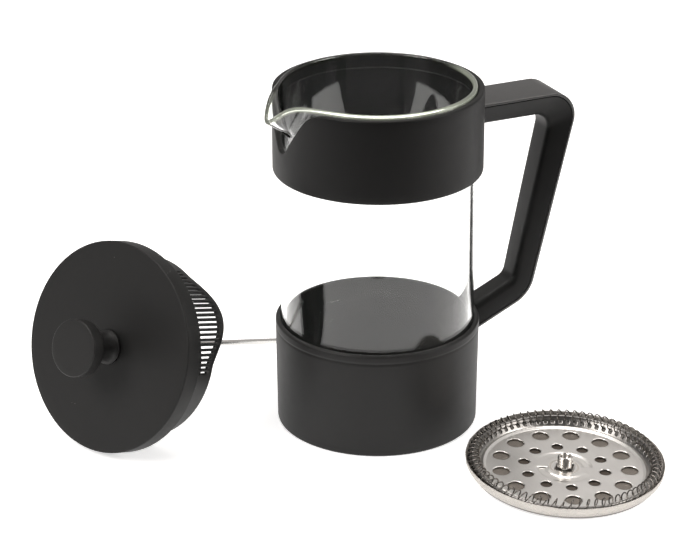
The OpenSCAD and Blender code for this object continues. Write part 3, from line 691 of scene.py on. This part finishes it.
def strainer_moulding():
    """Sheet on a grid of angle and height. Rows run from the skirt's edge, which dips along the
    tongue, up the wall and inwards over the deck. Cells of the slots are left out."""
    half_slot = math.degrees(SLOT_W / 2 / SKIRT_R)
    centres = (np.arange(SLOTS) - (SLOTS - 1) / 2) * SLOT_PITCH
    edges = np.concatenate([centres - half_slot, centres + half_slot])
    last = centres[-1] + SLOT_PITCH / 2
    between = np.concatenate([centres[:-1] + SLOT_PITCH / 2, [-last, last]])
    plain = np.linspace(last, 360 - last, 110)[1:-1]
    angle = np.sort(np.concatenate([edges, between, plain]))
    from_middle = np.where(angle > 180, angle - 360, angle)
    share = np.maximum(0, 1 - (from_middle / TONGUE_ANGLE) ** 2) ** 1.75
    edge = SKIRT_Z - TONGUE_L * share
    slot_foot = edge + SLOT_BORDER
    arch = SLOT_ARCH * np.minimum(np.abs(from_middle) / 35, 1) ** 2
    slot_top = np.maximum(-LID_H - SLOT_DROP - arch, slot_foot + 0.6)
    deck_top = -LID_T - 0.02
    wall = [edge + (slot_foot - edge) * u for u in (0, 0.12, 0.5)]
    wall += [slot_foot + (slot_top - slot_foot) * u for u in (0, 0.25, 0.5, 0.75)]
    wall += [slot_top + (deck_top - 1.0 - slot_top) * u for u in (0, 0.5, 1)]
    radius = [np.full_like(angle, SKIRT_R)] * len(wall)
    for turn in (30, 60, 90):
        radius.append(np.full_like(angle, SKIRT_R - 1 + math.cos(math.radians(turn))))
        wall.append(np.full_like(angle, deck_top - 1 + math.sin(math.radians(turn))))
    for r in (36.0, 24.0, 12.0, BUSH_R):
        radius.append(np.full_like(angle, r))
        wall.append(np.full_like(angle, deck_top))
    r, z, a = np.stack(radius), np.stack(wall), np.radians(angle)
    points = AT_LID(np.stack([r * np.cos(a), r * np.sin(a), z], axis=-1))
    rows, columns = r.shape[0] - 1, r.shape[1]
    kept = np.ones((rows, columns), bool)
    cell_middle = from_middle + (np.roll(from_middle, -1) - from_middle) / 2
    nearest = np.abs(cell_middle[:, None] - centres[None, :]).min(axis=1)
    kept[3:7, nearest < half_slot * 0.9] = False
    return as_mesh("strainer_moulding", [cells(points, around=True, kept=kept)], sharp=50)


def bush_moulding():
    """Guide bush of revolution: a sleeve through the lid with a flange under the deck."""
    deck_z = -LID_T - DECK_T
    bore, flange = ROD_R + ROD_GAP, BUSH_R + 2.5
    outline = rounded([
        (bore, -0.02, 0.2), (BUSH_R - 0.01, -0.02, 0.25), (BUSH_R - 0.01, deck_z - 0.03, 0),
        (flange, deck_z - 0.03, 0.3), (flange, deck_z - 1.4, 0.4), (BUSH_R - 1, deck_z - 1.4, 0.4),
        (BUSH_R - 1.2, deck_z - 7, 0.4), (bore, deck_z - 7, 0.2)], 4)
    points = AT_LID(spun(outline, 64))
    return as_mesh("bush_moulding", [outward(cells(points, around=True, along=True))])


def plunger_rod_drawn():
    """Round rod, with a screw thread at its free end: the radius dips by a rounded saw of the
    height less the share of a turn, and fades out where the thread runs out."""
    columns = 28
    a = np.linspace(0, TURN, columns, endpoint=False)
    thread_z = np.arange(0.5, THREAD_L, THREAD_PITCH / 8)
    plain_z = np.linspace(THREAD_L + 0.5, ROD_L + ROD_GRIP, 30)
    z = np.concatenate([[0, 0, 0.25, 0.5], thread_z[1:], plain_z, [ROD_L + ROD_GRIP]]) - ROD_L
    r = np.full_like(z, ROD_R)
    r[[0, -1]] = 0
    r[1:4] = (ROD_R - 0.55, ROD_R - 0.28, ROD_R - 0.12)
    height = (z + ROD_L)[:, None]
    phase = (height / THREAD_PITCH - a[None, :] / TURN) % 1.0
    groove = np.abs(phase * 2 - 1) ** 1.2
    span = smooth_step((THREAD_L - height) / 1.5) * (height > 0.3)
    radius = np.maximum(r[:, None] - THREAD_DEPTH * groove * span, 0)
    points = np.stack([radius * np.cos(a), radius * np.sin(a), z[:, None] + 0 * a], axis=-1)
    return as_mesh("plunger_rod_drawn", [outward(cells(AT_LID(points), around=True))])


def knob_moulding():
    """Knob of revolution: a disc head, a neck, and a foot that flares like a trumpet with a
    thin rim. It is drawn solid, without a bore."""
    head_z = KNOB_H - KNOB_HEAD_T
    throat = head_z - 3
    flare_r, flare_h = FLANGE_R - NECK_R, throat - 5
    a = np.radians(np.linspace(0, 90, 12))
    rim_h = 1.15
    flare = np.stack([FLANGE_R - 0.25 - flare_r * np.sin(a), rim_h + flare_h * (1 - np.cos(a))],
                     axis=1)
    foot = rounded([(0, 0.1, 0), (FLANGE_R, 0.1, 0.3), (FLANGE_R, rim_h, 0.4),
                    (FLANGE_R - 0.9, rim_h, 0)], 4)[:-1]
    head = rounded([
        (NECK_R, throat, 0), (NECK_R + 0.7, head_z - 0.6, 1.2), (KNOB_R - 2.5, head_z, 0.8),
        (KNOB_R, head_z + 1.2, 2.0), (KNOB_R, KNOB_H, 0.6), (0, KNOB_H, 0)], 7)
    outline = divided(np.concatenate([foot, flare[1:-1], head]), 3.0, closed=False)
    return as_mesh("knob_moulding", [outward(cells(AT_LID(spun(outline, 112)), around=True))])


# ------------------------------------------------------------ filter group

def hub_turned():
    """Hub of revolution: broad foot, spigot through the cross plate, straight barrel with
    chamfers, and a threaded bore whose radius follows a helix."""
    gauze_z, spigot_r = HUB_FOOT_H + CROSS_T, 2.4
    top = gauze_z + HUB_H
    foot = rounded([(0, 0, 0), (HUB_FOOT_R, 0, 0.5), (HUB_FOOT_R, HUB_FOOT_H, 0.3),
                    (spigot_r, HUB_FOOT_H, 0), (spigot_r, gauze_z, 0), (HUB_R - 0.3, gauze_z, 0.1),
                    (HUB_R, gauze_z + 1.1, 0.2), (HUB_R, top - 0.5, 0.2),
                    (HUB_R - 0.5, top, 0.2), (HUB_BORE_R + 1.5, top, 0.1),
                    (HUB_BORE_R + 1.1, top - 0.5, 0.1)], 3)
    thread_z = np.arange(top - 1.6, 1.4, -THREAD_PITCH / 7)
    bore = np.stack([np.full_like(thread_z, HUB_BORE_R + 0.95), thread_z], axis=1)
    end = np.array([[HUB_BORE_R, 1.2], [0, 1.0]])
    outline = np.concatenate([foot, bore, end])
    columns = 72
    a = np.linspace(0, TURN, columns, endpoint=False)
    in_bore = np.zeros(len(outline))
    in_bore[len(foot):len(foot) + len(bore)] = 1
    phase = (outline[:, 1:2] / THREAD_PITCH - a[None, :] / TURN) % 1.0
    crest = (1 - np.abs(phase * 2 - 1)) * 0.25 * in_bore[:, None]
    r = outline[:, 0:1] - crest
    points = np.stack([r * np.cos(a), r * np.sin(a), outline[:, 1:2] + 0 * a], axis=-1)
    return as_mesh("hub_turned", [outward(cells(AT_FILTER(points), around=True))], sharp=30)


def wander(a, waves, fade=0):
    """Slow irregular change round a ring: sines of random size and phase with the given numbers
    of waves k, each divided by k ** fade."""
    return sum(chance.uniform(-1, 1) * np.sin(k * a + chance.uniform(0, TURN)) / k ** fade
               for k in waves)


def gauze_cloth():
    """Disc of wire cloth with its edge turned up: rows run from the hub hole to the edge, up
    the slope, over the hem and back, and the hem's height wavers a little round the rim."""
    columns = 240
    a = np.linspace(0, TURN, columns, endpoint=False)
    z0 = HUB_FOOT_H + CROSS_T
    floor_r = CROSS_R + 0.6
    half = GAUZE_T / 2
    line = rounded([(HUB_R + 0.3, z0 + half, 0), (floor_r, z0 + half, 2.0),
                    (GAUZE_R - 0.5, z0 + GAUZE_H * 0.55, 3.0),
                    (GAUZE_R - half, z0 + GAUZE_H - half, 0)], 8)
    line = divided(line, 2.2, closed=False)
    run = np.concatenate([[0], np.cumsum(np.linalg.norm(np.diff(line, axis=0), axis=1))])
    along = np.gradient(line, axis=0)
    along /= np.linalg.norm(along, axis=1, keepdims=True)
    side = np.stack([along[:, 1], -along[:, 0]], axis=1)
    turn = np.radians(np.linspace(0, 180, 5))[1:-1, None]
    hem = line[-1] + half * (side[-1] * np.cos(turn) + along[-1] * np.sin(turn))
    outline = np.concatenate([line + half * side, hem, (line - half * side)[::-1]])
    length = np.concatenate([run, [run[-1]] * len(hem), run[::-1]])
    wave = wander(a, (3, 5, 8, 13))
    raised = smooth_step((outline[:, 0:1] - floor_r) / (GAUZE_R - floor_r))
    r = outline[:, 0:1] - 0.10 * np.abs(wave) * raised
    z = outline[:, 1:2] - 0.14 * np.abs(wave) * raised
    points = np.stack([r * np.cos(a), r * np.sin(a), z], axis=-1)
    flat_r = (HUB_R + 0.3 + length)[:, None]
    flat = np.stack([flat_r * np.cos(a), flat_r * np.sin(a)], axis=-1) * MM
    part = outward(cells(AT_FILTER(points), around=True, along=True))
    return as_mesh("gauze_cloth", [part], flat_map=flat)


def emboss(r, a):
    """Depth of the two pressed spiral ramps round the hub: each starts at a sharp radial edge
    and runs out over half a turn, in a band that moves outwards along it."""
    depth = np.zeros(np.broadcast(r, a).shape)
    for start in (RAMP_START, RAMP_START + 180):
        on = (np.degrees(a) - start) % 360
        share = on / RAMP_SPAN
        middle = 11.0 + 1.8 * share
        across = 1 - smooth_step((np.abs(r - middle) - 1.4) / 1.6)
        run = np.where(on < RAMP_SPAN, smooth_step(on / 2.5) * np.maximum(1 - share, 0) ** 0.7, 0)
        depth = np.maximum(depth, RAMP_DEPTH * across * run)
    return depth


def snapped(points, centres, radius, cell):
    """The grid with its points near the edges of round holes moved radially onto them."""
    flat = points[..., :2]
    offset = flat[:, :, None, :] - centres[None, None]
    distance = np.linalg.norm(offset, axis=-1)
    nearest = distance.argmin(axis=-1)
    gap = np.take_along_axis(distance, nearest[..., None], -1)[..., 0]
    centre = centres[nearest]
    near = np.abs(gap - radius) < cell
    moved = centre + (flat - centre) * (radius / np.maximum(gap, 1e-9))[..., None]
    flat = np.where(near[..., None], moved, flat)
    return np.concatenate([flat, points[..., 2:]], axis=-1)


def ring_of(count, radius, turn):
    """Points spread evenly round a circle, the first at an angle in degrees."""
    a = np.radians(turn) + TURN * np.arange(count) / count
    return np.stack([radius * np.cos(a), radius * np.sin(a)], axis=1)


def plate_pressed():
    """Dished plate on a polar grid: flat floor with two spiral ramps and drain holes, a bead,
    a sloping wall with small holes for the coil's wire, and a rolled rim. The sheet is
    thickened downwards."""
    columns = COIL_TURNS * 6
    a = np.linspace(0, TURN, columns, endpoint=False)
    top = HUB_FOOT_H + CROSS_T + GAUZE_T + PLATE_T
    window = HUB_WINDOW / 2
    floor_r = np.arange(FLOOR_START, PLATE_FLOOR_R - 2.4, 0.55)
    bead_r, bead_w = PLATE_FLOOR_R - 0.2, 1.2
    bead = np.linspace(-1.5, 1.5, 9)
    rim_top = top + PLATE_H - 0.35
    foot = rounded([(bead_r + 1.6, top, 0), (PLATE_FLOOR_R + 1.9, top, 0.6),
                    (PLATE_R - 0.55, rim_top, 0)], 4)[1:]
    wall = divided(foot, 0.62, closed=False)
    rim = arc((PLATE_R - 0.15, rim_top - 0.05), 0.42, 165, -40, 8)
    radius = np.concatenate([bead_r + bead * bead_w, wall[:, 0], rim[:, 0]])
    bead_z = top + BEAD_H * np.cos(np.clip(bead, -1, 1) * math.pi / 2) ** 2 * (np.abs(bead) < 1)
    height = np.concatenate([bead_z, wall[:, 1], rim[:, 1]])
    grid_r = np.concatenate([floor_r, radius])[:, None] + 0 * a
    grid_z = np.concatenate([np.full(len(floor_r), top), height])[:, None] + 0 * a
    square = window / np.maximum(np.abs(np.cos(a)), np.abs(np.sin(a)))
    square = np.minimum(square, window * 1.28)
    blend = np.clip((grid_r - FLOOR_START) / 2.5, 0, 1)
    grid_r = grid_r * blend + (1 - blend) * (square + (grid_r - FLOOR_START) * 1.6)
    grid_z = grid_z - emboss(grid_r, a[None, :])
    points = np.stack([grid_r * np.cos(a), grid_r * np.sin(a), grid_z], axis=-1)
    middle = cell_middles(points)
    keep = np.ones(middle.shape[:2], bool)
    for count, ring, hole, turn in ((SMALL_HOLES, SMALL_RING_R, SMALL_HOLE_R, 0.0),
                                    (LARGE_HOLES, LARGE_RING_R, LARGE_HOLE_R, LARGE_TURN)):
        centres = ring_of(count, ring, turn)
        gap = np.linalg.norm(middle[:, :, None, :2] - centres[None, None], axis=-1).min(axis=-1)
        keep &= gap > hole
        points = snapped(points, centres, hole, 0.36)
    along_wall = (middle[..., 2] - top) / PLATE_H
    threaded = (along_wall > 0.3) & (along_wall < 0.62) & (np.arange(columns) % 6 < 2)
    keep &= ~(threaded & (np.linalg.norm(middle[..., :2], axis=-1) > PLATE_FLOOR_R + 1.2))
    return as_mesh("plate_pressed", [cells(AT_FILTER(points), around=True, kept=keep)], sharp=50)


def cell_middles(points):
    """Middle of each cell of a grid that is joined around."""
    wrapped = np.concatenate([points, points[:, :1]], axis=1)
    return (wrapped[:-1, :-1] + wrapped[:-1, 1:] + wrapped[1:, 1:] + wrapped[1:, :-1]) / 4


def coil_wire():
    """Coil spring bent into a ring: the wire's centre goes round a small circle many times while
    that circle's middle goes round the rim once. Spacing, size and lean waver slowly."""
    steps, around_wire = 20, 7
    t = np.arange(COIL_TURNS * steps) / (COIL_TURNS * steps)
    a = TURN * t
    drift = wander(a, range(3, 12), 1)
    size = wander(a, (4, 7, 11, 17)) / 4
    lean = wander(a, (2, 5, 9)) / 3
    psi = TURN * COIL_TURNS * t
    coil = COIL_R - WIRE_R - 0.02
    out = coil * (0.97 + 0.03 * size) * np.cos(psi)
    up = coil * (0.97 + 0.03 * size) * np.sin(psi)
    swing = 0.9 + 0.5 * lean
    bearing = a + 0.02 * drift + swing * up / (PLATE_R * 2)
    ring = COIL_CENTRE_R + out
    z = HUB_FOOT_H + CROSS_T + GAUZE_T + PLATE_T + PLATE_H + COIL_RISE + up
    line = np.stack([ring * np.cos(bearing), ring * np.sin(bearing), z], axis=1)
    tangent = np.roll(line, -1, axis=0) - np.roll(line, 1, axis=0)
    tangent /= np.linalg.norm(tangent, axis=1, keepdims=True)
    centre = np.stack([COIL_CENTRE_R * np.cos(bearing), COIL_CENTRE_R * np.sin(bearing), z - up],
                      axis=1)
    first = line - centre
    first -= (first * tangent).sum(axis=1, keepdims=True) * tangent
    first /= np.linalg.norm(first, axis=1, keepdims=True)
    second = np.cross(tangent, first)
    w = np.linspace(0, TURN, around_wire, endpoint=False)[None, :, None]
    points = line[:, None] + WIRE_R * (first[:, None] * np.cos(w) + second[:, None] * np.sin(w))
    part = outward(cells(AT_FILTER(points), around=True, along=True))
    return as_mesh("coil_wire", [part], sharp=80)


# ------------------------------------------------------------------ pieces

piece("base_cup_moulding", base_cup_moulding(), CUP_BLACK, "frame", "black_cup", "base_cup")
piece("upper_band_moulding", upper_band_moulding(), BAND_BLACK, "frame", "black_band", "upper_band")
piece("handle_body_moulding", as_mesh("handle_body_moulding", [handle_sweep(body_section)], 45),
      HANDLE_BLACK, "frame", "black_handle", "handle_body")
piece("handle_cover_moulding", as_mesh("handle_cover_moulding", [handle_sweep(strip_section)], 45),
      STRIP_BLACK, "frame", "black_strip", "handle_cover")
piece("beaker_glass_blown", beaker_glass(), GLASS, "beaker", "glass", "glass_beaker", "glass_rim")
piece("lid_cover_moulding", lid_cover_moulding(), LID_BLACK, "lid", "black_lid", "lid_cover")
strainer = piece("strainer_moulding", strainer_moulding(), STRAINER_BLACK, "lid", "black_strainer",
                 "lid_strainer")
thickened(strainer, SKIRT_T, -1)
piece("bush_moulding", bush_moulding(), BUSH_BLACK, "lid", "black_bush", "rod_bush")
piece("plunger_rod_drawn", plunger_rod_drawn(), ROD_STEEL, "plunger", "rod_steel", "plunger_rod")
piece("knob_moulding", knob_moulding(), KNOB_BLACK, "knob", "black_knob", "knob_shell")
piece("hub_turned", hub_turned(), HUB_STEEL, "filter", "hub_steel", "filter_hub")
piece("gauze_cloth", gauze_cloth(), GAUZE_STEEL, "gauze", "gauze_steel", "filter_gauze")
plate = piece("plate_pressed", plate_pressed(), PLATE_STEEL, "spring", "plate_steel",
              "spring_plate")
thickened(plate, PLATE_T * 0.9, -1)
piece("coil_wire", coil_wire(), COIL_STEEL, "spring", "coil_steel", "coil_spring")

for node, finish in (("handle_screws", SCREW_STEEL), ("knob_insert", INSERT_BRASS),
                     ("cross_plate", CROSS_STEEL_PAINTED_SHADE)):
    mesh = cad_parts[node].data
    mesh.materials.clear()
    mesh.materials.append(finish)


# ------------------------------------------------------- camera and lights

CAMERA_HEADING, CAMERA_PITCH, CAMERA_LENS = -25.5, 66.82, 136.28
CAMERA_AT = (-0.53807, -1.09616, 0.5966)


def facing(x, y, z):
    """A point given in the camera's heading: x to the right, y away, z up, in metres."""
    c, s = math.cos(math.radians(CAMERA_HEADING)), math.sin(math.radians(CAMERA_HEADING))
    return Vector((x * c - y * s, x * s + y * c, z))


def studio_camera():
    lens = bpy.data.cameras.new("studio_camera")
    lens.lens, lens.sensor_width, lens.clip_start, lens.clip_end = CAMERA_LENS, 36, 0.05, 20
    camera = bpy.data.objects.new("studio_camera", lens)
    camera.location = CAMERA_AT
    camera.rotation_euler = (math.radians(CAMERA_PITCH), 0, math.radians(CAMERA_HEADING))
    bpy.context.scene.collection.objects.link(camera)
    bpy.context.scene.camera = camera


def softbox(name, at, aim, width, height, power, colour=(1.0, 0.965, 0.935)):
    """A rectangular area light at a point, turned towards another."""
    lamp = bpy.data.lights.new(name, "AREA")
    lamp.shape, lamp.size, lamp.size_y = "RECTANGLE", width, height
    lamp.energy, lamp.color = power, colour
    box = bpy.data.objects.new(name, lamp)
    box.location = facing(*at)
    box.rotation_mode = "QUATERNION"
    box.rotation_quaternion = (facing(*aim) - facing(*at)).to_track_quat("-Z", "Y")
    bpy.context.scene.collection.objects.link(box)


def studio_floor():
    """White table top that ends in front of the set, beyond the camera's view."""
    corners = [facing(-3, -0.27, 0), facing(3, -0.27, 0), facing(3, 4, 0), facing(-3, 4, 0)]
    mesh = bpy.data.meshes.new("studio_floor")
    mesh.from_pydata([tuple(c) for c in corners], [], [(0, 1, 2, 3)])
    floor = bpy.data.objects.new("studio_floor", mesh)
    bpy.context.scene.collection.objects.link(floor)
    f = Finish("studio_floor_white")
    mesh.materials.append(f.done(f.shader(
        Base_Color=(0.9, 0.9, 0.9, 1), Roughness=0.9, Specular_IOR_Level=0.1,
        Emission_Color=(1, 1, 1, 1), Emission_Strength=0.62)))


def studio_world():
    """White behind the set for the camera. What lights the pieces is paler behind the set and
    dark in front of it, as in a studio with a white sweep."""
    world = bpy.data.worlds.new("studio_world")
    bpy.context.scene.world = world
    world.use_nodes = True
    tree = world.node_tree
    tree.nodes.clear()
    f = Finish.__new__(Finish)
    f.tree = tree
    toward_back = facing(0, 1, 0)
    ray = f.node("ShaderNodeTexCoord", output="Generated")
    along = f.node("ShaderNodeVectorMath", {"operation": "DOT_PRODUCT"},
                   {0: ray, 1: tuple(toward_back)}, "Value")
    level = f.node("ShaderNodeMapRange", {"interpolation_type": "SMOOTHSTEP"},
                   {"Value": along, "From Min": -0.5, "From Max": 0.6,
                    "To Min": 0.06, "To Max": 0.55})
    lit = f.node("ShaderNodeBackground", {}, {"Color": (1, 0.97, 0.945, 1), "Strength": level})
    seen = f.node("ShaderNodeBackground", {}, {"Color": (1, 1, 1, 1), "Strength": 1.0})
    camera_ray = f.node("ShaderNodeLightPath", output="Is Camera Ray")
    shown = f.node("ShaderNodeMixShader", {}, {0: camera_ray, 1: lit, 2: seen})
    f.node("ShaderNodeOutputWorld", {}, {"Surface": shown})


studio_camera()
studio_floor()
studio_world()
softbox("key_softbox", (-0.95, -0.75, 1.05), (0, 0, 0.08), 0.7, 0.7, 16)
softbox("side_softbox", (1.15, -0.35, 0.85), (0, 0, 0.08), 0.6, 0.8, 9)
softbox("top_softbox", (0.0, 0.35, 1.5), (0, 0, 0), 1.2, 0.9, 12)
bpy.context.scene.view_settings.view_transform = "Standard"
